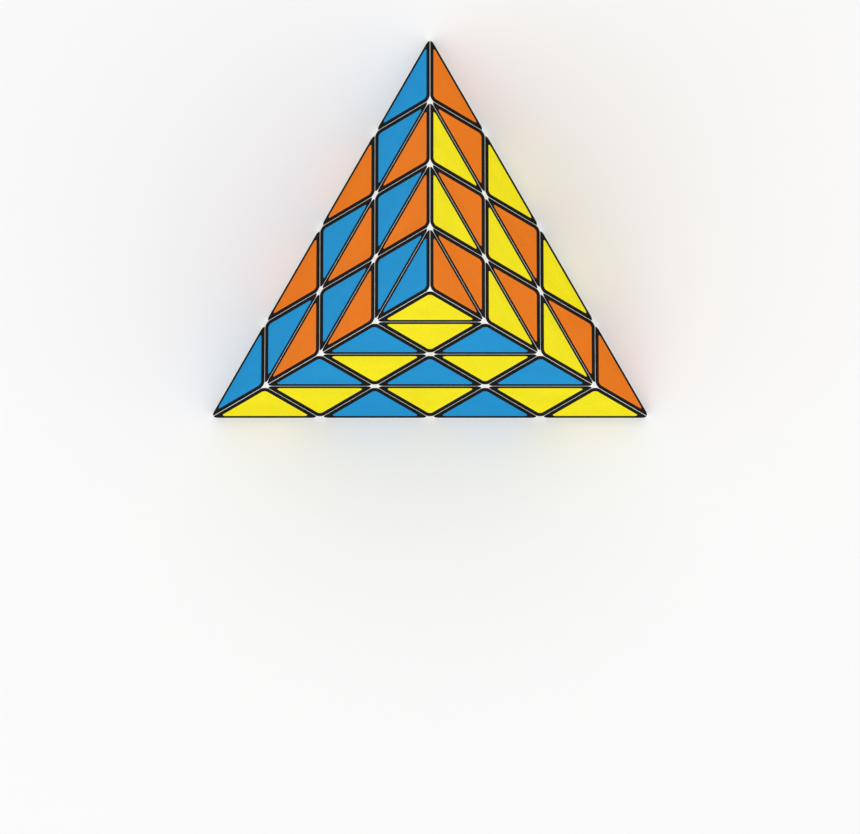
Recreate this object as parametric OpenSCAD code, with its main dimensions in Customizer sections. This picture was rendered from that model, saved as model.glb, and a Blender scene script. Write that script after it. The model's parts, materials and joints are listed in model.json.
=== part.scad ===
// Four-layer pyramid twisty puzzle: 34 outer pieces and a ball core with four sprung axles.
// Units are mm. The green face lies on z = 0 and z points up.

/* [Overall] */
// Length of each ridge of the pyramid
edge = 100; // [80:1:130]
// Space between neighbouring pieces
gap = 0.10; // [0.06:0.01:0.2]
// How far each ridge is flattened, along its bisector
ridge_flat = 0.05; // [0.02:0.01:0.06]
// How far each point of the pyramid is rounded off
point_round = 1.0; // [0.6:0.1:1.2]

/* [Films] */
// From a cell line to the rim of a black film
film_inset = 0.08; // [0.07:0.01:0.3]
// Corner radius of a black film
film_corner = 1.0; // [0.5:0.01:1.2]
// Thickness of a black film
black_t = 0.025; // [0.015:0.005:0.03]
// Width of the black border round a colour film
border = 1.32; // [0.6:0.02:2]
// Corner radius of a colour film
colour_corner = 0.67; // [0.4:0.01:1]
// Thickness of a colour film
colour_t = 0.015; // [0.01:0.005:0.015]
// Space round a film in its recess
film_play = 0.005; // [0.002:0.001:0.01]

/* [Core, as shares of the layer height] */
// Core ball radius
ball_share = 0.44; // [0.36:0.01:0.46]
// Distance from the middle to each flat of the ball
seat_share = 0.40; // [0.32:0.01:0.42]
// Radius of the round cap of a hub block
cap_share = 0.45; // [0.37:0.01:0.47]
// Inner radius of the holding rim of a hub block
rim_in_share = 0.60; // [0.58:0.01:0.62]
// Outer radius of the holding rim of a hub block
rim_out_share = 0.71; // [0.69:0.01:0.73]
// How far the holding rim reaches past its block
rim_reach = 1.6; // [1.2:0.1:2]

/* [Wing track, as shares of the layer height] */
// Thickness of a wing's neck
neck_wall_share = 0.075; // [0.06:0.005:0.09]
// How far a wing's foot reaches past its neck
foot_reach_share = 0.08; // [0.06:0.01:0.1]
// Height of a wing's neck
neck_rise_share = 0.12; // [0.1:0.01:0.13]
// Height of a wing's foot
foot_rise_share = 0.09; // [0.07:0.01:0.1]
// Angle that a wing's foot spans, in degrees
foot_angle = 70; // [50:1:76]

/* [Axial, as shares of the layer height] */
// Radius of the tongue that holds the wings
tongue_share = 0.54; // [0.5:0.01:0.56]
// Height of the tongue's lower side over the cut
tongue_low_share = 0.12; // [0.1:0.01:0.13]
// Height of the tongue's upper side over the cut
tongue_top_share = 0.22; // [0.21:0.01:0.24]
// Height of the spring floor over the cut
floor_share = 0.26; // [0.25:0.01:0.3]
// Height of the screw head's underside over the cut
head_seat_share = 0.58; // [0.55:0.01:0.6]
// Height of the snap lip's lower side over the cut
lip_share = 0.88; // [0.85:0.01:0.89]

/* [Axle hardware] */
// Screw shank diameter
screw_d = 2.6; // [2.2:0.1:3]
// How far a washer reaches past the screw head, each side
washer_lap = 0.3; // [0.2:0.05:0.4]
// Screw head height
head_h = 1.9; // [1.5:0.1:2.2]
// Width of the cross slot in a screw head
slot_w = 0.7; // [0.5:0.1:0.9]
// Length of the cross slot in a screw head
slot_l = 3.2; // [2.6:0.1:3.6]
// Depth of the cross slot in a screw head
slot_h = 1.1; // [0.8:0.1:1.3]
// How near a screw's end comes to the middle
screw_start = 3; // [2.6:0.1:3.6]
// How much smaller a washer is than the tip stem, so that it goes in through the lip
washer_slack = 0.2; // [0.1:0.05:0.4]
// Washer thickness
washer_t = 0.6; // [0.4:0.1:0.8]
// Spring wire diameter
wire_d = 0.7; // [0.5:0.05:0.8]
// Turns of each spring
coil_turns = 4.5; // [3:0.5:5]

/* [Tip stem] */
// Stem diameter
stem_d = 6.0; // [5.6:0.1:6.2]
// How far the snap ring stands out from the stem
snap_reach = 0.45; // [0.3:0.05:0.5]
// Snap ring height
snap_h = 1.2; // [0.8:0.1:1.4]
// Length of the stem below the snap ring
stem_lead = 0.6; // [0.4:0.1:0.8]
// Diameter of the hollow inside the stem
stem_bore = 3.4; // [2.6:0.1:3.6]
// Width of the split in the stem
split_w = 1.0; // [0.6:0.1:1.2]
// How far the stem's hollow goes up into the tip
hollow_rise = 4; // [2:0.5:5]

/* [Fits] */
// Space round faces that move past each other
play = 0.30; // [0.25:0.01:0.35]
// Space round a stem or shank that runs in a bore
run_fit = 0.08; // [0.04:0.01:0.1]
// Space round a screw in the ball
thread_play = 0.02; // [0.01:0.01:0.05]
// Space under a spring
spring_play = 0.05; // [0.03:0.01:0.1]
// Space above and below a foot or a snap ring
lift_play = 0.20; // [0.15:0.01:0.25]

/* [Hidden] */
layers = 4;
face_share = 1 / 3;
layer = edge * sqrt(2 / 3) / layers;
cell = edge / layers;
inner = gap / 2;
big = 2 * edge;
tilt_back = acos(-face_share);
tilt = [0, tilt_back, tilt_back, tilt_back];
turn = [-90, 90, 210, 330];
lean = sqrt(1 - face_share * face_share);
pointing = [
    [0, 0, 1],
    [0, lean, -face_share],
    [lean * cos(210), lean * sin(210), -face_share],
    [lean * cos(330), lean * sin(330), -face_share]
];
top = [1, 0, 0, 0];
back = [0, 1, 0, 0];
left = [0, 0, 1, 0];
right = [0, 0, 0, 1];
corner = [top, back, left, right];
ball_r = ball_share * layer;
seat = seat_share * layer;
cavity_r = ball_r + play;
cap_r = cap_share * layer;
rim_in = rim_in_share * layer;
rim_out = rim_out_share * layer;
neck_in = cap_r + play;
neck_r = neck_in + neck_wall_share * layer;
foot_r = neck_r + foot_reach_share * layer;
neck_low = layer - neck_rise_share * layer;
foot_low = neck_low - foot_rise_share * layer;
track_low = foot_low - lift_play;
track_top = neck_low + lift_play;
cap_low = track_low + lift_play;
tongue_r = tongue_share * layer;
tongue_low = layer + tongue_low_share * layer;
tongue_top = layer + tongue_top_share * layer;
floor_z = layer + floor_share * layer;
head_z = layer + head_seat_share * layer;
lip_z = layer + lip_share * layer;
washer_d = stem_d - washer_slack;
head_d = washer_d - 2 * washer_lap;
coil_d = (washer_d + screw_d) / 2;
snap_d = stem_d + 2 * snap_reach;
chamber_r = snap_d / 2 + play;
lip_r = stem_d / 2 + run_fit;
bore_r = screw_d / 2 + run_fit;
thread_r = screw_d / 2 + thread_play;
floor_bore_r = screw_d / 2 + play;
spring_low = floor_z + spring_play + wire_d / 2;
spring_top = head_z - washer_t - spring_play - wire_d / 2;
wire_sides = 6;
coil_steps = 12;
film_t = black_t + colour_t;
root_in = 1;
white = [0.93, 0.93, 0.92];
black = [0.10, 0.09, 0.11];
green = [0.08, 0.57, 0.25];
blue = [0.17, 0.57, 0.80];
orange = [0.91, 0.47, 0.08];
yellow = [0.96, 0.91, 0.14];
steel = [0.72, 0.73, 0.75];
nylon = [0.85, 0.84, 0.78];

// ---- directions and cells ----
// A cell is named by four counts, one for each point of the pyramid: how many layers it is
// from the opposite face. Counts add up to 3 for a small pyramid, 2 for an octahedron and
// 1 for an upside-down pyramid deep inside.

function count(a) = a[0] + a[1] + a[2] + a[3];
function across(k) = [cos(tilt[k]) * cos(turn[k]), cos(tilt[k]) * sin(turn[k]), -sin(tilt[k])];
function along(k) = [-sin(turn[k]), cos(turn[k]), 0];
function flat(k, j) = [pointing[j] * across(k), pointing[j] * along(k)];
function bearing(k, j) = atan2(flat(k, j)[1], flat(k, j)[0]);
function share(a, j) = (a[j] + (layers - count(a)) * face_share) / layers;
function low(a, k) = a[k] == 0 ? -layer : (a[k] - 1) * layer + inner;
function high(a, k) = a[k] * layer - inner;
function spot(a, d) = [
    for (i = [0, 1])
        (layers - 1) * layer * (
            (d == 0 ? 0 : share(a, 0) * flat(d, 0)[i])
            + (d == 1 ? 0 : share(a, 1) * flat(d, 1)[i])
            + (d == 2 ? 0 : share(a, 2) * flat(d, 2)[i])
            + (d == 3 ? 0 : share(a, 3) * flat(d, 3)[i])
        )
];

// Puts its children on the axis through point k, with z = 0 at the middle of the puzzle.
module on_axis(k) {
    translate([0, 0, layer])
        rotate([0, tilt[k], turn[k]])
            children();
}

module on_middle() {
    translate([0, 0, layer])
        children();
}

module slab(k, from, to) {
    on_axis(k)
        translate([-big / 2, -big / 2, from])
            cube([big, big, to - from]);
}

// The space inside the flattened ridge between points k and j.
module under_ridge(k, j) {
    v = pointing[k] + pointing[j];
    reach = sqrt(layers - 1) * layer - ridge_flat;
    on_middle()
        rotate([0, acos(v[2] / norm(v)), atan2(v[1], v[0])])
            translate([-big / 2, -big / 2, reach - big])
                cube([big, big, big]);
}

module pyramid_cell(a) {
    intersection() {
        slab(0, low(a, 0), big);
        slab(1, low(a, 1), big);
        slab(2, low(a, 2), big);
        slab(3, low(a, 3), big);
    }
}

module octahedron_cell(a) {
    intersection() {
        slab(0, low(a, 0), high(a, 0));
        slab(1, low(a, 1), high(a, 1));
        slab(2, low(a, 2), high(a, 2));
        slab(3, low(a, 3), high(a, 3));
    }
}

module inner_cell(a) {
    intersection() {
        slab(0, -big, high(a, 0));
        slab(1, -big, high(a, 1));
        slab(2, -big, high(a, 2));
        slab(3, -big, high(a, 3));
    }
}

// ---- films ----

function film_r(inset) = cell / (2 * sqrt(3)) - inset;
function arm(inset, r) = 2 * (film_r(inset) - r);
function at(d, angle) = [d * cos(angle), d * sin(angle)];

module rounded_triangle(inset, r) {
    reach = arm(inset, r);
    polygon([
        at(reach, 0) + at(r, -60),
        at(reach, 0) + at(r, 60),
        at(reach, 120) + at(r, 60),
        at(reach, 120) + at(r, 180),
        at(reach, 240) + at(r, 180),
        at(reach, 240) + at(r, 300)
    ]);
    for (angle = [0, 120, 240])
        translate(at(reach, angle))
            circle(r = r);
}

// Puts its children on the outer side of cell a in face d, with z pointing into the piece.
module on_cell(a, d) {
    place = spot(a, d);
    on_axis(d)
        translate([place[0], place[1], -layer])
            rotate([0, 0, count(a) == layers - 1 ? 180 : 0])
                children();
}

module recess(a, d) {
    on_cell(a, d)
        translate([0, 0, -1])
            linear_extrude(height = 1 + film_t)
                rounded_triangle(film_inset - film_play, film_corner + film_play);
}

module black_film(a, d) {
    on_cell(a, d)
        translate([0, 0, colour_t])
            linear_extrude(height = black_t)
                rounded_triangle(film_inset, film_corner);
}

module colour_film(a, d) {
    on_cell(a, d)
        linear_extrude(height = colour_t)
            rounded_triangle(film_inset + border, colour_corner);
}

// ---- core ----

module core_ball() {
    color(nylon)
        difference() {
            intersection() {
                on_middle()
                    sphere(r = ball_r);
                slab(0, -big, seat);
                slab(1, -big, seat);
                slab(2, -big, seat);
                slab(3, -big, seat);
            }
            for (k = [0, 1, 2, 3])
                on_axis(k)
                    translate([0, 0, screw_start - thread_play])
                        cylinder(r = thread_r, h = ball_r);
        }
}

module rim_shell(from, to) {
    on_middle()
        difference() {
            sphere(r = to);
            sphere(r = from);
        }
}

// The groove in which the hub blocks' rims hold the floating pieces.
module rim_groove() {
    intersection() {
        rim_shell(rim_in - lift_play, rim_out + play);
        union() {
            slab(0, -rim_reach - lift_play, rim_reach + lift_play);
            slab(1, -rim_reach - lift_play, rim_reach + lift_play);
            slab(2, -rim_reach - lift_play, rim_reach + lift_play);
            slab(3, -rim_reach - lift_play, rim_reach + lift_play);
        }
    }
}

// The stepped space under corner k: a cap in the middle and the wing track round it.
module track_space(k) {
    on_axis(k) {
        translate([0, 0, track_low])
            cylinder(r = foot_r + play, h = track_top - track_low);
        translate([0, 0, track_low])
            cylinder(r = neck_r + play, h = big);
    }
}

module hub_block(k) {
    a = corner[k];
    difference() {
        union() {
            difference() {
                inner_cell(a);
                on_axis(k)
                    translate([0, 0, track_low])
                        cylinder(r = big, h = big);
                on_middle()
                    sphere(r = cavity_r);
            }
            intersection() {
                inner_cell(a);
                on_axis(k)
                    translate([0, 0, seat])
                        cylinder(r = screw_d + root_in, h = ball_r);
            }
            intersection() {
                inner_cell(a);
                on_axis(k)
                    translate([0, 0, track_low - root_in])
                        cylinder(r = cap_r, h = big);
            }
            on_axis(k)
                translate([0, 0, cap_low])
                    cylinder(r = cap_r, h = layer - inner - cap_low);
            intersection() {
                rim_shell(rim_in, rim_out);
                slab(0, k == 0 ? 0 : -big, k == 0 ? big : rim_reach);
                slab(1, k == 1 ? 0 : -big, k == 1 ? big : rim_reach);
                slab(2, k == 2 ? 0 : -big, k == 2 ? big : rim_reach);
                slab(3, k == 3 ? 0 : -big, k == 3 ? big : rim_reach);
            }
        }
        on_axis(k)
            translate([0, 0, 1])
                cylinder(r = bore_r, h = big);
    }
}

module hub_blocks() {
    color(white)
        for (k = [0, 1, 2, 3])
            hub_block(k);
}

module middle_edge(k, j) {
    a = corner[k] + corner[j];
    others = [for (d = [0, 1, 2, 3]) if (a[d] == 0) d];
    difference() {
        intersection() {
            octahedron_cell(a);
            under_ridge(k, j);
        }
        on_middle()
            sphere(r = cavity_r);
        rim_groove();
        track_space(k);
        track_space(j);
        recess(a, others[0]);
        recess(a, others[1]);
    }
}

module middle_edges() {
    color(white) {
        middle_edge(0, 1);
        middle_edge(0, 2);
        middle_edge(0, 3);
        middle_edge(1, 2);
        middle_edge(1, 3);
        middle_edge(2, 3);
    }
}

module face_centre(d) {
    a = [1, 1, 1, 1] - corner[d];
    near = [for (k = [0, 1, 2, 3]) if (a[k] == 1) k];
    difference() {
        pyramid_cell(a);
        on_middle()
            sphere(r = cavity_r);
        rim_groove();
        track_space(near[0]);
        track_space(near[1]);
        track_space(near[2]);
        recess(a, d);
    }
}

module face_centres() {
    color(white)
        for (d = [0, 1, 2, 3])
            face_centre(d);
}

module core_black_films() {
    color(black) {
        for (k = [0, 1, 2, 3])
            for (j = [0, 1, 2, 3])
                for (d = [0, 1, 2, 3])
                    if (k < j && d != k && d != j)
                        black_film(corner[k] + corner[j], d);
        for (d = [0, 1, 2, 3])
            black_film([1, 1, 1, 1] - corner[d], d);
    }
}

// The three middle-edge colour films of face d.
module edge_films(d) {
    for (k = [0, 1, 2, 3])
        for (j = [0, 1, 2, 3])
            if (k < j && d != k && d != j)
                colour_film(corner[k] + corner[j], d);
}

// Face 0 is the base, face 1 the front, face 2 the right and face 3 the left.
module core_films_blue() {
    color(blue) {
        edge_films(3);
        colour_film([1, 0, 1, 1], 1);
    }
}

module core_films_yellow() {
    color(yellow) {
        edge_films(1);
        colour_film([1, 1, 0, 1], 2);
    }
}

module core_films_orange() {
    color(orange) {
        edge_films(2);
        colour_film([1, 1, 1, 0], 3);
    }
}

module core_films_green() {
    color(green) {
        edge_films(0);
        colour_film([0, 1, 1, 1], 0);
    }
}

// ---- axle hardware ----

module axle_screws() {
    color(steel)
        for (k = [0, 1, 2, 3])
            on_axis(k)
                difference() {
                    union() {
                        translate([0, 0, screw_start])
                            cylinder(d = screw_d, h = head_z - screw_start + head_h / 2);
                        translate([0, 0, head_z])
                            cylinder(d = head_d, h = head_h);
                    }
                    translate([-slot_l / 2, -slot_w / 2, head_z + head_h - slot_h])
                        cube([slot_l, slot_w, head_h]);
                    translate([-slot_w / 2, -slot_l / 2, head_z + head_h - slot_h])
                        cube([slot_w, slot_l, head_h]);
                }
}

module spring_washers() {
    color(steel)
        for (k = [0, 1, 2, 3])
            on_axis(k)
                translate([0, 0, head_z - washer_t])
                    difference() {
                        cylinder(d = washer_d, h = washer_t);
                        translate([0, 0, -washer_t])
                            cylinder(r = bore_r, h = big);
                    }
}

function coil_point(i, s) =
    let (
        around = 360 * i / coil_steps,
        way = 360 * s / wire_sides,
        rise = spring_low + (spring_top - spring_low) * i / (coil_turns * coil_steps),
        r = coil_d / 2 + wire_d / 2 * cos(way)
    )
    [r * cos(around), r * sin(around), rise + wire_d / 2 * sin(way)];

module coil() {
    steps = coil_turns * coil_steps;
    last = steps * wire_sides;
    polyhedron(
        points = [for (i = [0 : steps]) for (s = [0 : wire_sides - 1]) coil_point(i, s)],
        faces = concat(
            [[for (s = [0 : wire_sides - 1]) s]],
            [for (i = [0 : steps - 1]) for (s = [0 : wire_sides - 1])
                [
                    i * wire_sides + s,
                    (i + 1) * wire_sides + s,
                    (i + 1) * wire_sides + (s + 1) % wire_sides
                ]],
            [for (i = [0 : steps - 1]) for (s = [0 : wire_sides - 1])
                [
                    i * wire_sides + s,
                    (i + 1) * wire_sides + (s + 1) % wire_sides,
                    i * wire_sides + (s + 1) % wire_sides
                ]],
            [[for (s = [wire_sides - 1 : -1 : 0]) last + s]]
        )
    );
}

module axle_springs() {
    color(steel)
        for (k = [0, 1, 2, 3])
            on_axis(k)
                coil();
}

// ---- corners ----

module axial(k) {
    a = 2 * corner[k];
    faces = [for (d = [0, 1, 2, 3]) if (d != k) d];
    color(white)
        difference() {
            union() {
                octahedron_cell(a);
                on_axis(k)
                    translate([0, 0, tongue_low])
                        cylinder(r = tongue_r, h = tongue_top - tongue_low);
            }
            on_axis(k) {
                cylinder(r = floor_bore_r, h = big);
                translate([0, 0, floor_z])
                    cylinder(r = chamber_r, h = lip_z - floor_z);
                translate([0, 0, floor_z])
                    cylinder(r = lip_r, h = big);
            }
            recess(a, faces[0]);
            recess(a, faces[1]);
            recess(a, faces[2]);
        }
}

// The neck and foot that keep wing j in the track of corner k.
module wing_foot(k, j) {
    on_axis(k)
        rotate([0, 0, bearing(k, j) - foot_angle / 2])
            rotate_extrude(angle = foot_angle)
                polygon([
                    [neck_in, foot_low],
                    [foot_r, foot_low],
                    [foot_r, neck_low],
                    [neck_r, neck_low],
                    [neck_r, layer + root_in],
                    [neck_in, layer + root_in]
                ]);
}

module wing(k, j) {
    a = 2 * corner[k] + corner[j];
    faces = [for (d = [0, 1, 2, 3]) if (a[d] == 0) d];
    union() {
        difference() {
            intersection() {
                pyramid_cell(a);
                under_ridge(k, j);
            }
            on_axis(k)
                translate([0, 0, tongue_low - lift_play])
                    cylinder(r = tongue_r + lift_play, h = tongue_top - tongue_low + 2 * lift_play);
            recess(a, faces[0]);
            recess(a, faces[1]);
        }
        intersection() {
            wing_foot(k, j);
            slab(j, inner, big);
        }
    }
}

module wings(k) {
    color(white)
        for (j = [0, 1, 2, 3])
            if (j != k)
                wing(k, j);
}

module corner_black_films(k) {
    color(black)
        for (d = [0, 1, 2, 3])
            if (d != k) {
                black_film(2 * corner[k], d);
                for (j = [0, 1, 2, 3])
                    if (j != k && j != d)
                        black_film(2 * corner[k] + corner[j], d);
            }
}

// The two wing films of corner k in face d.
module wing_films(k, d) {
    for (j = [0, 1, 2, 3])
        if (j != k && j != d)
            colour_film(2 * corner[k] + corner[j], d);
}

module axial_film(k, d) {
    colour_film(2 * corner[k], d);
}

module corner_top_axial() axial(0);
module corner_back_axial() axial(1);
module corner_left_axial() axial(2);
module corner_right_axial() axial(3);
module corner_top_wings() wings(0);
module corner_back_wings() wings(1);
module corner_left_wings() wings(2);
module corner_right_wings() wings(3);
module corner_top_black_films() corner_black_films(0);
module corner_back_black_films() corner_black_films(1);
module corner_left_black_films() corner_black_films(2);
module corner_right_black_films() corner_black_films(3);

// The colour films of corner k: its axial's film in face home, and its wings' films in
// face away. A face that is not there is given as k.
module corner_films(k, home, away) {
    if (home != k)
        axial_film(k, home);
    if (away != k)
        wing_films(k, away);
}

module corner_top_films_blue() color(blue) corner_films(0, 3, 1);
module corner_top_films_yellow() color(yellow) corner_films(0, 1, 2);
module corner_top_films_orange() color(orange) corner_films(0, 2, 3);
module corner_back_films_blue() color(blue) corner_films(1, 3, 1);
module corner_back_films_yellow() color(yellow) corner_films(1, 1, 2);
module corner_back_films_orange() color(orange) corner_films(1, 2, 3);
module corner_back_films_green() color(green) corner_films(1, 0, 0);
module corner_left_films_blue() color(blue) corner_films(2, 3, 1);
module corner_left_films_yellow() color(yellow) corner_films(2, 1, 2);
module corner_left_films_orange() color(orange) corner_films(2, 2, 3);
module corner_left_films_green() color(green) corner_films(2, 0, 0);
module corner_right_films_blue() color(blue) corner_films(3, 3, 1);
module corner_right_films_yellow() color(yellow) corner_films(3, 1, 2);
module corner_right_films_orange() color(orange) corner_films(3, 2, 3);
module corner_right_films_green() color(green) corner_films(3, 0, 0);

// ---- tips ----

module tip_stem(k) {
    snap_low = lip_z - lift_play - snap_h;
    on_axis(k) {
        translate([0, 0, snap_low - stem_lead])
            cylinder(d = stem_d, h = stem_lead + (layers - 2) * layer + root_in - snap_low);
        translate([0, 0, snap_low])
            cylinder(d = snap_d, h = snap_h);
    }
}

module tip_body(k) {
    a = (layers - 1) * corner[k];
    faces = [for (d = [0, 1, 2, 3]) if (d != k) d];
    stem_end = lip_z - lift_play - snap_h - stem_lead;
    cut = (layers - 2) * layer;
    color(white)
        difference() {
            union() {
                intersection() {
                    pyramid_cell(a);
                    under_ridge(k, faces[0]);
                    under_ridge(k, faces[1]);
                    under_ridge(k, faces[2]);
                    on_middle()
                        sphere(r = (layers - 1) * layer - point_round);
                }
                tip_stem(k);
            }
            on_axis(k) {
                translate([0, 0, stem_end - root_in])
                    cylinder(d = stem_bore, h = cut + hollow_rise - stem_end + root_in);
                translate([-stem_d, -split_w / 2, stem_end - root_in])
                    cube([2 * stem_d, split_w, cut - stem_end + root_in - run_fit]);
            }
            recess(a, faces[0]);
            recess(a, faces[1]);
            recess(a, faces[2]);
        }
}

module tip_black_films(k) {
    color(black)
        for (d = [0, 1, 2, 3])
            if (d != k)
                black_film((layers - 1) * corner[k], d);
}

module tip_film(k, d) {
    colour_film((layers - 1) * corner[k], d);
}

module tip_top_body() tip_body(0);
module tip_back_body() tip_body(1);
module tip_left_body() tip_body(2);
module tip_right_body() tip_body(3);
module tip_top_black_films() tip_black_films(0);
module tip_back_black_films() tip_black_films(1);
module tip_left_black_films() tip_black_films(2);
module tip_right_black_films() tip_black_films(3);
module tip_top_film_blue() color(blue) tip_film(0, 3);
module tip_top_film_yellow() color(yellow) tip_film(0, 1);
module tip_top_film_orange() color(orange) tip_film(0, 2);
module tip_back_film_blue() color(blue) tip_film(1, 3);
module tip_back_film_orange() color(orange) tip_film(1, 2);
module tip_back_film_green() color(green) tip_film(1, 0);
module tip_left_film_blue() color(blue) tip_film(2, 3);
module tip_left_film_yellow() color(yellow) tip_film(2, 1);
module tip_left_film_green() color(green) tip_film(2, 0);
module tip_right_film_yellow() color(yellow) tip_film(3, 1);
module tip_right_film_orange() color(orange) tip_film(3, 2);
module tip_right_film_green() color(green) tip_film(3, 0);

// ---- the parts ----

core_ball();
hub_blocks();
axle_screws();
axle_springs();
spring_washers();
middle_edges();
face_centres();
core_black_films();
core_films_blue();
core_films_yellow();
core_films_orange();
core_films_green();
corner_top_axial();
corner_top_wings();
corner_top_black_films();
corner_top_films_blue();
corner_top_films_yellow();
corner_top_films_orange();
corner_back_axial();
corner_back_wings();
corner_back_black_films();
corner_back_films_blue();
corner_back_films_yellow();
corner_back_films_orange();
corner_back_films_green();
corner_left_axial();
corner_left_wings();
corner_left_black_films();
corner_left_films_blue();
corner_left_films_yellow();
corner_left_films_orange();
corner_left_films_green();
corner_right_axial();
corner_right_wings();
corner_right_black_films();
corner_right_films_blue();
corner_right_films_yellow();
corner_right_films_orange();
corner_right_films_green();
tip_top_body();
tip_top_black_films();
tip_top_film_blue();
tip_top_film_yellow();
tip_top_film_orange();
tip_back_body();
tip_back_black_films();
tip_back_film_blue();
tip_back_film_orange();
tip_back_film_green();
tip_left_body();
tip_left_black_films();
tip_left_film_blue();
tip_left_film_yellow();
tip_left_film_green();
tip_right_body();
tip_right_black_films();
tip_right_film_yellow();
tip_right_film_orange();
tip_right_film_green();
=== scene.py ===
import json
import math
import bpy
from mathutils import Matrix, Vector


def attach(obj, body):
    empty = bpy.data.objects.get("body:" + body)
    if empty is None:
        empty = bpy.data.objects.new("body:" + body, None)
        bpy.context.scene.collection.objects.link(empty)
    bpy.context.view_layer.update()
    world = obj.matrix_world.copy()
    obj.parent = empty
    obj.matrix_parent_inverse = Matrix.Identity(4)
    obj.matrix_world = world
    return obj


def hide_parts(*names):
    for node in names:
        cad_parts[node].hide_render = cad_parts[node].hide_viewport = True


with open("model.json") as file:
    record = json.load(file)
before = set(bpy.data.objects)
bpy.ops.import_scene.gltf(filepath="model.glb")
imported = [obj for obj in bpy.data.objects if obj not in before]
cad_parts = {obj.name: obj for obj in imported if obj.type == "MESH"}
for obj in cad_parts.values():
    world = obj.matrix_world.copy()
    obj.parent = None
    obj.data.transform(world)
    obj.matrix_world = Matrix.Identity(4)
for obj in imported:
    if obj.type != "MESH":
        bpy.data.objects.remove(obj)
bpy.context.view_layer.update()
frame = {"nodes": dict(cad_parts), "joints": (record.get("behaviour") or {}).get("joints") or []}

mm = 0.001
bpy.ops.object.select_all(action="DESELECT")


def linearColour(hexColour):
    out = []
    for i in (0, 2, 4):
        c = int(hexColour[i:i + 2], 16) / 255
        out.append(c / 12.92 if c <= 0.04045 else ((c + 0.055) / 1.055) ** 2.4)
    return (*out, 1.0)


def addNode(tree, kind, links=(), **settings):
    node = tree.nodes.new(kind)
    for key, value in settings.items():
        if hasattr(node, key):
            setattr(node, key, value)
        else:
            socket = next(s for s in node.inputs if s.name.replace(" ", "") == key)
            socket.default_value = value
    for source, target in links:
        tree.links.new(source, node.inputs[target])
    return node


def newMaterial(name):
    material = bpy.data.materials.new(name)
    material.use_nodes = True
    tree = material.node_tree
    return material, tree, tree.nodes["Principled BSDF"]


# white ABS, injection moulded in a spark-eroded tool: an even satin skin with a fine grain
absLook = dict(colour="F8F8F6", shadow="F1F1EE", smooth=0.36, rough=0.5, grain=0.18 * mm, mottle=14 * mm,
               grainDepth=0.02 * mm, grainStrength=0.12, specular=0.3)


def mouldedWhiteAbs():
    material, tree, skin = newMaterial("mouldedWhiteAbs")
    place = addNode(tree, "ShaderNodeTexCoord").outputs["Object"]
    grain = addNode(tree, "ShaderNodeTexNoise", [(place, "Vector")],
                    Scale=1 / absLook["grain"], Detail=3.0)
    mottle = addNode(tree, "ShaderNodeTexNoise", [(place, "Vector")],
                     Scale=1 / absLook["mottle"], Detail=2.0)
    tint = addNode(tree, "ShaderNodeMix", [(mottle.outputs["Fac"], "Factor")], data_type="RGBA")
    tint.inputs[6].default_value = linearColour(absLook["colour"])
    tint.inputs[7].default_value = linearColour(absLook["shadow"])
    tree.links.new(tint.outputs[2], skin.inputs["Base Color"])
    gloss = addNode(tree, "ShaderNodeMapRange", [(grain.outputs["Fac"], "Value")],
                    ToMin=absLook["smooth"], ToMax=absLook["rough"])
    tree.links.new(gloss.outputs["Result"], skin.inputs["Roughness"])
    relief = addNode(tree, "ShaderNodeBump", [(grain.outputs["Fac"], "Height")],
                     Strength=absLook["grainStrength"], Distance=absLook["grainDepth"])
    tree.links.new(relief.outputs["Normal"], skin.inputs["Normal"])
    skin.inputs["IOR"].default_value = 1.53
    skin.inputs["Specular IOR Level"].default_value = absLook["specular"]
    return material


# UV-cured ink film printed on the moulding: flat even colour with print speckle, a faint
# orange peel and fine rubbing, and a paler worn line where fingers catch its rim
filmLook = dict(peel=0.9 * mm, rub=3.2 * mm, mottle=9 * mm, speckle=0.5 * mm, rough=0.4, wear=0.14,
                specular=0.02, blackSpecular=0.008, unevenness=0.045, speckleDepth=0.05,
                peelDepth=0.02 * mm, peelStrength=0.5)


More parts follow.
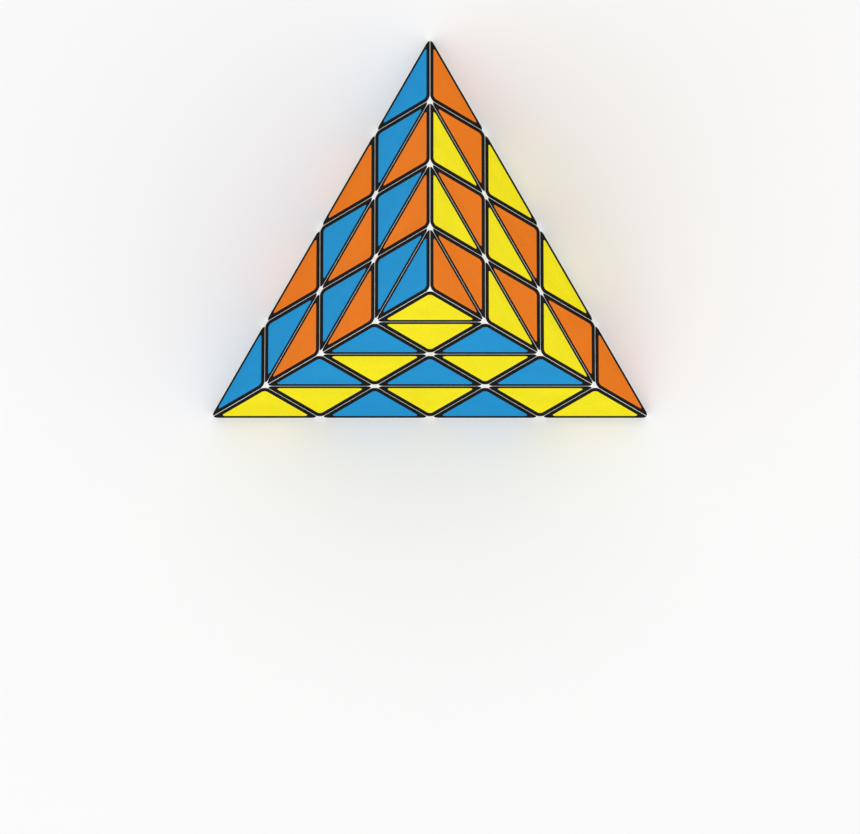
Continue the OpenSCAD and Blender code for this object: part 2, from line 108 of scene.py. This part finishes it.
def uvPrintedFilm(name, hexColour, wornHex, specular=filmLook["specular"]):
    material, tree, skin = newMaterial(name)
    place = addNode(tree, "ShaderNodeTexCoord").outputs["Object"]
    mottle = addNode(tree, "ShaderNodeTexNoise", [(place, "Vector")],
                     Scale=1 / filmLook["mottle"], Detail=4.0)
    rub = addNode(tree, "ShaderNodeTexNoise", [(place, "Vector")],
                  Scale=1 / filmLook["rub"], Detail=8.0, Roughness=0.7)
    rim = addNode(tree, "ShaderNodeAttribute", attribute_name="rim")
    worn = addNode(tree, "ShaderNodeMath", [(rim.outputs["Fac"], 0), (rub.outputs["Fac"], 1)],
                   operation="MULTIPLY")
    wear = addNode(tree, "ShaderNodeMapRange", [(worn.outputs["Value"], "Value")],
                   FromMin=0.35, FromMax=0.9, ToMin=0.0, ToMax=filmLook["wear"])
    even = addNode(tree, "ShaderNodeMix", [(wear.outputs["Result"], "Factor")], data_type="RGBA")
    even.inputs[6].default_value = linearColour(hexColour)
    even.inputs[7].default_value = linearColour(wornHex)
    speckle = addNode(tree, "ShaderNodeTexNoise", [(place, "Vector")],
                      Scale=1 / filmLook["speckle"], Detail=3.0)
    cloud = addNode(tree, "ShaderNodeMapRange", [(mottle.outputs["Fac"], "Value")],
                    FromMin=0.25, FromMax=0.75,
                    ToMin=1 - filmLook["unevenness"], ToMax=1 + filmLook["unevenness"])
    dots = addNode(tree, "ShaderNodeMapRange", [(speckle.outputs["Fac"], "Value")],
                   FromMin=0.25, FromMax=0.75,
                   ToMin=1 - filmLook["speckleDepth"], ToMax=1 + filmLook["speckleDepth"])
    shade = addNode(tree, "ShaderNodeMath", [(cloud.outputs["Result"], 0), (dots.outputs["Result"], 1)],
                    operation="MULTIPLY")
    tone = addNode(tree, "ShaderNodeHueSaturation",
                   [(even.outputs[2], "Color"), (shade.outputs["Value"], "Value")])
    tree.links.new(tone.outputs["Color"], skin.inputs["Base Color"])
    gloss = addNode(tree, "ShaderNodeMapRange", [(rub.outputs["Fac"], "Value")],
                    ToMin=filmLook["rough"] - 0.08, ToMax=filmLook["rough"] + 0.1)
    tree.links.new(gloss.outputs["Result"], skin.inputs["Roughness"])
    peel = addNode(tree, "ShaderNodeTexNoise", [(place, "Vector")],
                   Scale=1 / filmLook["peel"], Detail=1.0)
    relief = addNode(tree, "ShaderNodeBump", [(peel.outputs["Fac"], "Height")],
                     Strength=filmLook["peelStrength"], Distance=filmLook["peelDepth"])
    tree.links.new(relief.outputs["Normal"], skin.inputs["Normal"])
    skin.inputs["IOR"].default_value = 1.5
    skin.inputs["Specular IOR Level"].default_value = specular
    return material


# zinc-plated steel wire and screws: bright, slightly uneven plating
steelLook = dict(colour="B9BCC2", dull="8F9298", plating=0.6 * mm, smooth=0.22, rough=0.4)


def platedSteel():
    material, tree, skin = newMaterial("platedSteel")
    place = addNode(tree, "ShaderNodeTexCoord").outputs["Object"]
    plating = addNode(tree, "ShaderNodeTexNoise", [(place, "Vector")],
                      Scale=1 / steelLook["plating"], Detail=5.0)
    tint = addNode(tree, "ShaderNodeMix", [(plating.outputs["Fac"], "Factor")], data_type="RGBA")
    tint.inputs[6].default_value = linearColour(steelLook["colour"])
    tint.inputs[7].default_value = linearColour(steelLook["dull"])
    tree.links.new(tint.outputs[2], skin.inputs["Base Color"])
    gloss = addNode(tree, "ShaderNodeMapRange", [(plating.outputs["Fac"], "Value")],
                    ToMin=steelLook["smooth"], ToMax=steelLook["rough"])
    tree.links.new(gloss.outputs["Result"], skin.inputs["Roughness"])
    skin.inputs["Metallic"].default_value = 1.0
    return material


# natural nylon, turned: slightly translucent cream with faint tool rings
nylonLook = dict(colour="DAD7C8", ring=0.25 * mm, cloud=6 * mm, smooth=0.35, rough=0.5)


def turnedNylon():
    material, tree, skin = newMaterial("turnedNylon")
    place = addNode(tree, "ShaderNodeTexCoord").outputs["Object"]
    rings = addNode(tree, "ShaderNodeTexWave", [(place, "Vector")],
                    wave_type="BANDS", bands_direction="Z",
                    Scale=0.05 / nylonLook["ring"], Distortion=0.4)
    relief = addNode(tree, "ShaderNodeBump", [(rings.outputs["Fac"], "Height")],
                     Strength=0.2, Distance=0.02 * mm)
    tree.links.new(relief.outputs["Normal"], skin.inputs["Normal"])
    cloud = addNode(tree, "ShaderNodeTexNoise", [(place, "Vector")],
                    Scale=1 / nylonLook["cloud"], Detail=3.0)
    gloss = addNode(tree, "ShaderNodeMapRange", [(cloud.outputs["Fac"], "Value")],
                    ToMin=nylonLook["smooth"], ToMax=nylonLook["rough"])
    tree.links.new(gloss.outputs["Result"], skin.inputs["Roughness"])
    skin.inputs["Base Color"].default_value = linearColour(nylonLook["colour"])
    skin.inputs["IOR"].default_value = 1.53
    skin.inputs["Subsurface Weight"].default_value = 0.1
    skin.inputs["Subsurface Radius"].default_value = (0.5 * mm, 0.45 * mm, 0.3 * mm)
    return material


whiteAbs = mouldedWhiteAbs()
steel = platedSteel()
nylon = turnedNylon()
filmMaterials = {
    "black": uvPrintedFilm("uvPrintedFilmBlack", "080708", "3A383C", filmLook["blackSpecular"]),
    "green": uvPrintedFilm("uvPrintedFilmGreen", "008A3A", "62B880"),
    "blue": uvPrintedFilm("uvPrintedFilmBlue", "088FCC", "7FBCE0"),
    "orange": uvPrintedFilm("uvPrintedFilmOrange", "E87600", "F0AC6C"),
    "yellow": uvPrintedFilm("uvPrintedFilmYellow", "F3E400", "F5ED80"),
}
print("materials made")

# The joints give the axes: one through each point of the pyramid, and all of them cross
# in the middle of the puzzle, one layer above the base.

corners = ["top", "back", "left", "right"]
cornerJoints = {j["child"].removeprefix("corner_"): j for j in frame["joints"]
                if j["child"].startswith("corner_")}
middle = Vector(cornerJoints["top"]["pos_m"])
layerHeight = middle.z
cellEdge = layerHeight / math.sqrt(2 / 3)
towards = [Vector(cornerJoints[c]["axis"]).normalized() for c in corners]
vertices = [middle + 3 * layerHeight * t for t in towards]


# counts says how many layers a cell lies towards each corner, and face d is opposite corner d.
# The frame has x towards a corner of the cell and z from its outer side inwards.
def cellFrame(counts, face):
    spare = (4 - sum(counts)) / 3
    centre = sum((vertices[k] * (counts[k] + spare) / 4 for k in range(4) if k != face), Vector())
    faceCentre = sum((vertices[k] for k in range(4) if k != face), Vector()) / 3
    across = (vertices[(face + 1) % 4] - faceCentre).normalized()
    if sum(counts) == 2:
        across = -across
    inward = towards[face]
    turned = Matrix((across, inward.cross(across), inward)).transposed().to_4x4()
    return Matrix.Translation(centre) @ turned


print("lattice ready, cell edge", round(cellEdge / mm, 3), "mm")


def selectEdges(piece, wanted):  # wanted gets the two ends of an edge
    bpy.ops.object.mode_set(mode="EDIT")
    bpy.ops.mesh.select_mode(type="EDGE")
    bpy.ops.mesh.select_all(action="DESELECT")
    bpy.ops.object.mode_set(mode="OBJECT")
    points = piece.data.vertices
    for edge in piece.data.edges:
        edge.select = wanted(points[edge.vertices[0]].co, points[edge.vertices[1]].co)
    bpy.ops.object.mode_set(mode="EDIT")


def selectFaces(piece, wanted):  # wanted gets the middle and the normal of a face
    bpy.ops.object.mode_set(mode="EDIT")
    bpy.ops.mesh.select_mode(type="FACE")
    bpy.ops.mesh.select_all(action="DESELECT")
    bpy.ops.object.mode_set(mode="OBJECT")
    for polygon in piece.data.polygons:
        polygon.select = wanted(polygon.center, polygon.normal)
    bpy.ops.object.mode_set(mode="EDIT")


def placeCopies(master, name, places):
    copies = []
    for place in places:
        mesh = master.data.copy()
        mesh.transform(place)
        copy = bpy.data.objects.new(name, mesh)
        bpy.context.scene.collection.objects.link(copy)
        copies.append(copy)
    bpy.ops.object.select_all(action="DESELECT")
    for copy in copies:
        copy.select_set(True)
    bpy.context.view_layer.objects.active = copies[0]
    if len(copies) > 1:
        bpy.ops.object.join()
    copies[0].name = name
    bpy.ops.object.select_all(action="DESELECT")
    return copies[0]


def putOn(piece, body, node, material):
    piece.data.materials.clear()
    piece.data.materials.append(material)
    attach(piece, body)
    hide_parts(node)


# One black film and one colour film are modelled, lying with their outer side on z = 0 and
# the piece under them towards +z, and then copied to every cell.

filmSize = dict(inset=0.08 * mm, corner=1.0 * mm, blackThick=0.025 * mm, border=1.32 * mm,
                colourCorner=0.67 * mm, colourThick=0.015 * mm, soft=0.006 * mm, rimWidth=0.5 * mm)


def sideReach(point):  # how far a point lies out towards the nearest side of the triangle
    sides = (math.pi / 3, math.pi, -math.pi / 3)
    return max(point.x * math.cos(a) + point.y * math.sin(a) for a in sides)


def filmMaster(name, inset, corner, low, high):
    reach = cellEdge / math.sqrt(3) - 2 * inset  # middle to the sharp corner
    bpy.ops.mesh.primitive_cylinder_add(vertices=3, radius=reach, depth=high - low,
                                        location=(0, 0, (low + high) / 2),
                                        rotation=(0, 0, -math.pi / 2))
    film = bpy.context.object
    film.name = name
    bpy.ops.object.transform_apply(location=True, rotation=True, scale=True)
    selectEdges(film, lambda a, b: abs(a.z - b.z) > (high - low) / 2)
    bpy.ops.mesh.bevel(offset=corner * math.sqrt(3), segments=10, profile=4 / 9, affect="EDGES")
    selectEdges(film, lambda a, b: max(a.z, b.z) < (low + high) / 2)
    bpy.ops.mesh.bevel(offset=filmSize["soft"], segments=2, affect="EDGES")
    selectFaces(film, lambda c, n: n.z < -0.99 and c.xy.length < reach / 9)
    bpy.ops.mesh.inset(thickness=filmSize["rimWidth"], depth=0)
    bpy.ops.object.mode_set(mode="OBJECT")
    rim = film.data.attributes.new("rim", "FLOAT", "POINT")
    edgeOfRing = reach / 2 - filmSize["rimWidth"] + 0.03 * mm
    for i, point in enumerate(film.data.vertices):
        rim.data[i].value = 1.0 if sideReach(point.co) > edgeOfRing else 0.0
    return film


blackMaster = filmMaster("blackMaster", filmSize["inset"], filmSize["corner"],
                         filmSize["colourThick"], filmSize["colourThick"] + filmSize["blackThick"])
colourMaster = filmMaster("colourMaster", filmSize["inset"] + filmSize["border"],
                          filmSize["colourCorner"], 0, filmSize["colourThick"])

# Which colour each face shows: home on tips, axials and middle edges, mixed on wings and
# on the cell in the middle of the face.
homeColour = {0: "green", 1: "yellow", 2: "orange", 3: "blue"}
mixedColour = {0: "green", 1: "blue", 2: "yellow", 3: "orange"}


def bodyOfCell(counts):
    for k in range(4):
        if counts[k] == 3:
            return "tip_" + corners[k]
        if counts[k] == 2:
            return "corner_" + corners[k]
    return "core"


outerCells = []
for a in range(4):
    for b in range(4):
        for c in range(4):
            for d in range(4):
                if a + b + c + d in (2, 3):
                    outerCells.append([a, b, c, d])

filmPlaces = {}  # (body, colour) to the places of its films
for counts in outerCells:
    for face in range(4):
        if counts[face]:
            continue
        mixed = sum(counts) == 3 and max(counts) < 3
        colour = (mixedColour if mixed else homeColour)[face]
        body = bodyOfCell(counts)
        place = cellFrame(counts, face)
        filmPlaces.setdefault((body, colour), []).append(place)
        filmPlaces.setdefault((body, "black"), []).append(place)

for (body, colour), places in sorted(filmPlaces.items()):
    kind = "film" if body.startswith("tip_") and colour != "black" else "films"
    node = f"{body}_black_films" if colour == "black" else f"{body}_{kind}_{colour}"
    master = blackMaster if colour == "black" else colourMaster
    words = node.split("_")
    piece = placeCopies(master, words[0] + "".join(w.capitalize() for w in words[1:]), places)
    putOn(piece, body, node, filmMaterials[colour])
for master in (blackMaster, colourMaster):
    bpy.data.objects.remove(master)
print("films placed:", sum(len(p) for (b, c), p in filmPlaces.items() if c != "black"), "cells")

# Axle hardware, modelled once with z along the axle and the middle of the puzzle at 0, then
# copied to the four axles.

screwSize = dict(start=3 * mm, threadEnd=11 * mm, headLow=1.58 * layerHeight, headHigh=1.9 * mm,
                 shank=1.3 * mm, head=2.6 * mm, pitch=0.8 * mm, root=1.08 * mm, ridge=0.24 * mm,
                 runOut=0.25 * mm, topRound=0.9 * mm, underRound=0.12 * mm, pointShare=0.6,
                 crossLong=3.2 * mm, crossWide=0.7 * mm, crossDeep=1.1 * mm, crossRound=0.15 * mm)
springSize = dict(low=1.26 * layerHeight + 0.05 * mm, play=0.05 * mm, wire=0.35 * mm, coil=2.1 * mm,
                  turns=4.5, steps=28, sides=14, closedTurns=0.75)
washerSize = dict(radius=2.9 * mm, bore=1.38 * mm, thick=0.6 * mm, soft=0.12 * mm)


def axleFrame(k):
    axis = towards[k]
    across = axis.orthogonal().normalized()
    return Matrix.Translation(middle) @ Matrix((across, axis.cross(across), axis)).transposed().to_4x4()


def makeSolid(piece):  # closes open ends and turns all faces outwards
    bpy.ops.object.mode_set(mode="EDIT")
    bpy.ops.mesh.select_mode(type="EDGE")
    bpy.ops.mesh.select_all(action="DESELECT")
    bpy.ops.mesh.select_non_manifold()
    bpy.ops.mesh.edge_face_add()
    bpy.ops.mesh.select_all(action="SELECT")
    bpy.ops.mesh.normals_make_consistent(inside=False)
    bpy.ops.object.mode_set(mode="OBJECT")


def woundProfile(name, sides, profileRadius, windRadius, low, high, turns, steps):
    bpy.ops.mesh.primitive_circle_add(vertices=sides, radius=profileRadius, fill_type="NOTHING",
                                      location=(windRadius, 0, low), rotation=(math.pi / 2, 0, 0))
    bpy.ops.object.transform_apply(location=True, rotation=True, scale=True)
    wound = bpy.context.object
    wound.name = name
    wind = wound.modifiers.new("wind", "SCREW")
    wind.axis = "Z"
    wind.angle = 2 * math.pi * turns
    wind.screw_offset = high - low
    wind.steps = int(turns * steps)
    wind.render_steps = int(turns * steps)
    wind.use_merge_vertices = False
    bpy.ops.object.modifier_apply(modifier="wind")
    makeSolid(wound)
    return wound


def cutOrJoin(piece, other, operation):
    bpy.ops.object.select_all(action="DESELECT")
    bpy.context.view_layer.objects.active = piece
    change = piece.modifiers.new("change", "BOOLEAN")
    change.object = other
    change.operation = operation
    change.solver = "EXACT"
    bpy.ops.object.modifier_apply(modifier="change")
    bpy.data.objects.remove(other)


def springMaster():
    s = springSize
    top = screwSize["headLow"] - washerSize["thick"] - s["play"] - s["wire"]
    low = s["low"] + s["wire"]
    coil = woundProfile("springMaster", s["sides"], s["wire"], s["coil"], low, top,
                        s["turns"], s["steps"])
    ringPoints = len(coil.data.vertices) // (int(s["turns"] * s["steps"]) + 1)
    rise = top - low
    closedRise = s["closedTurns"] * 2 * s["wire"] * 0.98
    closedShare = s["closedTurns"] / s["turns"]
    # the first and last turns lie flat, as on a cut spring
    for i, point in enumerate(coil.data.vertices):
        share = (i // ringPoints) / (s["turns"] * s["steps"])
        if share < closedShare:
            wanted = closedRise * share / closedShare
        elif share > 1 - closedShare:
            wanted = rise - closedRise * (1 - share) / closedShare
        else:
            along = (share - closedShare) / (1 - 2 * closedShare)
            wanted = closedRise + (rise - 2 * closedRise) * along
        point.co.z += wanted - rise * share
    return coil


def extrudeAlong(distance):  # moves the selected faces along z, with walls behind them
    bpy.ops.mesh.extrude_region_move(TRANSFORM_OT_translate={"value": (0, 0, distance)})


def screwMaster():
    s = screwSize
    bpy.ops.mesh.primitive_cylinder_add(vertices=48, radius=s["head"], depth=s["headHigh"],
                                        location=(0, 0, s["headLow"] + s["headHigh"] / 2))
    bpy.ops.object.transform_apply(location=True, rotation=True, scale=True)
    screw = bpy.context.object
    screw.name = "screwMaster"
    headTop = s["headLow"] + s["headHigh"]
    selectEdges(screw, lambda a, b: min(a.z, b.z) > headTop - 1e-6)
    bpy.ops.mesh.bevel(offset=s["topRound"], segments=6, affect="EDGES")
    selectEdges(screw, lambda a, b: max(a.z, b.z) < s["headLow"] + 1e-6)
    bpy.ops.mesh.bevel(offset=s["underRound"], segments=2, affect="EDGES")
    selectFaces(screw, lambda c, n: n.z < -0.99)
    bpy.ops.mesh.inset(thickness=s["head"] - s["underRound"] - s["shank"], depth=0)
    extrudeAlong(s["threadEnd"] - s["headLow"])
    extrudeAlong(-s["runOut"])
    rootShare = s["root"] / s["shank"]
    bpy.ops.transform.resize(value=(rootShare, rootShare, 1), center_override=(0, 0, 0))
    threadLow = s["start"] + 0.35 * mm
    extrudeAlong(threadLow - s["threadEnd"] + s["runOut"])
    extrudeAlong(s["start"] - threadLow)
    bpy.ops.transform.resize(value=(s["pointShare"], s["pointShare"], 1), center_override=(0, 0, 0))
    bpy.ops.object.mode_set(mode="OBJECT")
    threadTurns = (s["threadEnd"] - threadLow - 0.6 * mm) / s["pitch"]
    thread = woundProfile("threadRidge", 3, s["ridge"], s["shank"] - s["ridge"], threadLow + 0.2 * mm,
                          s["threadEnd"] - 0.4 * mm, threadTurns, springSize["steps"])
    cutOrJoin(screw, thread, "UNION")
    for turned in (0, math.pi / 2):
        bpy.ops.mesh.primitive_cube_add(size=1, location=(0, 0, headTop), rotation=(0, 0, turned))
        cross = bpy.context.object
        cross.scale = (s["crossLong"], s["crossWide"], 2 * s["crossDeep"])
        bpy.ops.object.transform_apply(location=True, rotation=True, scale=True)
        selectEdges(cross, lambda a, b: max(a.z, b.z) < headTop)
        bpy.ops.mesh.bevel(offset=s["crossRound"], segments=2, affect="EDGES")
        bpy.ops.object.mode_set(mode="OBJECT")
        cutOrJoin(screw, cross, "DIFFERENCE")
    return screw


def washerMaster():
    s = washerSize
    bpy.ops.mesh.primitive_cylinder_add(vertices=48, radius=s["radius"], depth=s["thick"],
                                        location=(0, 0, screwSize["headLow"] - s["thick"] / 2))
    bpy.ops.object.transform_apply(location=True, rotation=True, scale=True)
    washer = bpy.context.object
    selectFaces(washer, lambda c, n: abs(n.z) > 0.99)
    bpy.ops.mesh.inset(thickness=s["radius"] - s["bore"], depth=0)
    bpy.ops.mesh.bridge_edge_loops()
    bpy.ops.object.mode_set(mode="OBJECT")
    outer = s["radius"] - 0.1 * mm
    selectEdges(washer, lambda a, b: abs(a.z - b.z) < 1e-7 and min(a.xy.length, b.xy.length) > outer)
    bpy.ops.mesh.bevel(offset=s["soft"], segments=3, affect="EDGES")
    bpy.ops.mesh.select_all(action="SELECT")
    bpy.ops.mesh.normals_make_consistent(inside=False)
    bpy.ops.object.mode_set(mode="OBJECT")
    return washer


for master, name, node in ((screwMaster(), "axleScrews", "axle_screws"),
                           (springMaster(), "axleSprings", "axle_springs"),
                           (washerMaster(), "springWashers", "spring_washers")):
    bpy.ops.object.select_all(action="DESELECT")
    master.select_set(True)
    bpy.context.view_layer.objects.active = master
    bpy.ops.object.shade_smooth_by_angle(angle=math.radians(35))
    piece = placeCopies(master, name, [axleFrame(k) for k in range(4)])
    putOn(piece, "core", node, steel)
    bpy.data.objects.remove(master)
print("axle hardware made")

for name, node in frame["nodes"].items():
    if "film" in name or name.startswith("axle_") or name == "spring_washers":
        continue
    node.data.materials.clear()
    node.data.materials.append(nylon if name == "core_ball" else whiteAbs)
print("moulded pieces finished")

stageLook = dict(size=6.0, drop=0.1 * mm, floor="F4F4F4", world="FFFFFF", worldStrength=0.95,
                 keyEnergy=5.9, fillEnergy=2.4)

bpy.ops.mesh.primitive_plane_add(size=stageLook["size"], location=(0, 0, -stageLook["drop"]))
floor = bpy.context.object
floor.name = "floor"
floorPaper, tree, skin = newMaterial("matteFloor")
skin.inputs["Base Color"].default_value = linearColour(stageLook["floor"])
skin.inputs["Roughness"].default_value = 1.0
skin.inputs["Specular IOR Level"].default_value = 0.0
floor.data.materials.append(floorPaper)

world = bpy.data.worlds.new("softStudio")
world.use_nodes = True
world.node_tree.nodes["Background"].inputs["Color"].default_value = linearColour(stageLook["world"])
world.node_tree.nodes["Background"].inputs["Strength"].default_value = stageLook["worldStrength"]
bpy.context.scene.world = world


def softbox(name, place, energy, size):
    bpy.ops.object.light_add(type="AREA", location=place)
    light = bpy.context.object
    light.name = name
    light.data.energy = energy
    light.data.size = size
    light.rotation_euler = (Vector((0, 0, 0.03)) - Vector(place)).to_track_quat("-Z", "Y").to_euler()


softbox("keyLight", (-0.9, -1.1, 1.6), stageLook["keyEnergy"], 1.4)
softbox("fillLight", (1.2, 0.8, 1.5), stageLook["fillEnergy"], 1.6)

# the camera looks straight down on the top point from far off, so nothing is foreshortened
cameraLook = dict(height=8.0, viewWidth=0.19545, aside=-0.02864, sensor=36)
bpy.ops.object.camera_add(location=(0, cameraLook["aside"], cameraLook["height"]), rotation=(0, 0, 0))
camera = bpy.context.object
camera.data.sensor_width = cameraLook["sensor"]
camera.data.lens = cameraLook["sensor"] * cameraLook["height"] / cameraLook["viewWidth"]
camera.data.clip_end = 100
bpy.context.scene.camera = camera
bpy.context.scene.view_settings.view_transform = "Standard"
bpy.context.scene.view_settings.look = "None"
print("stage ready")
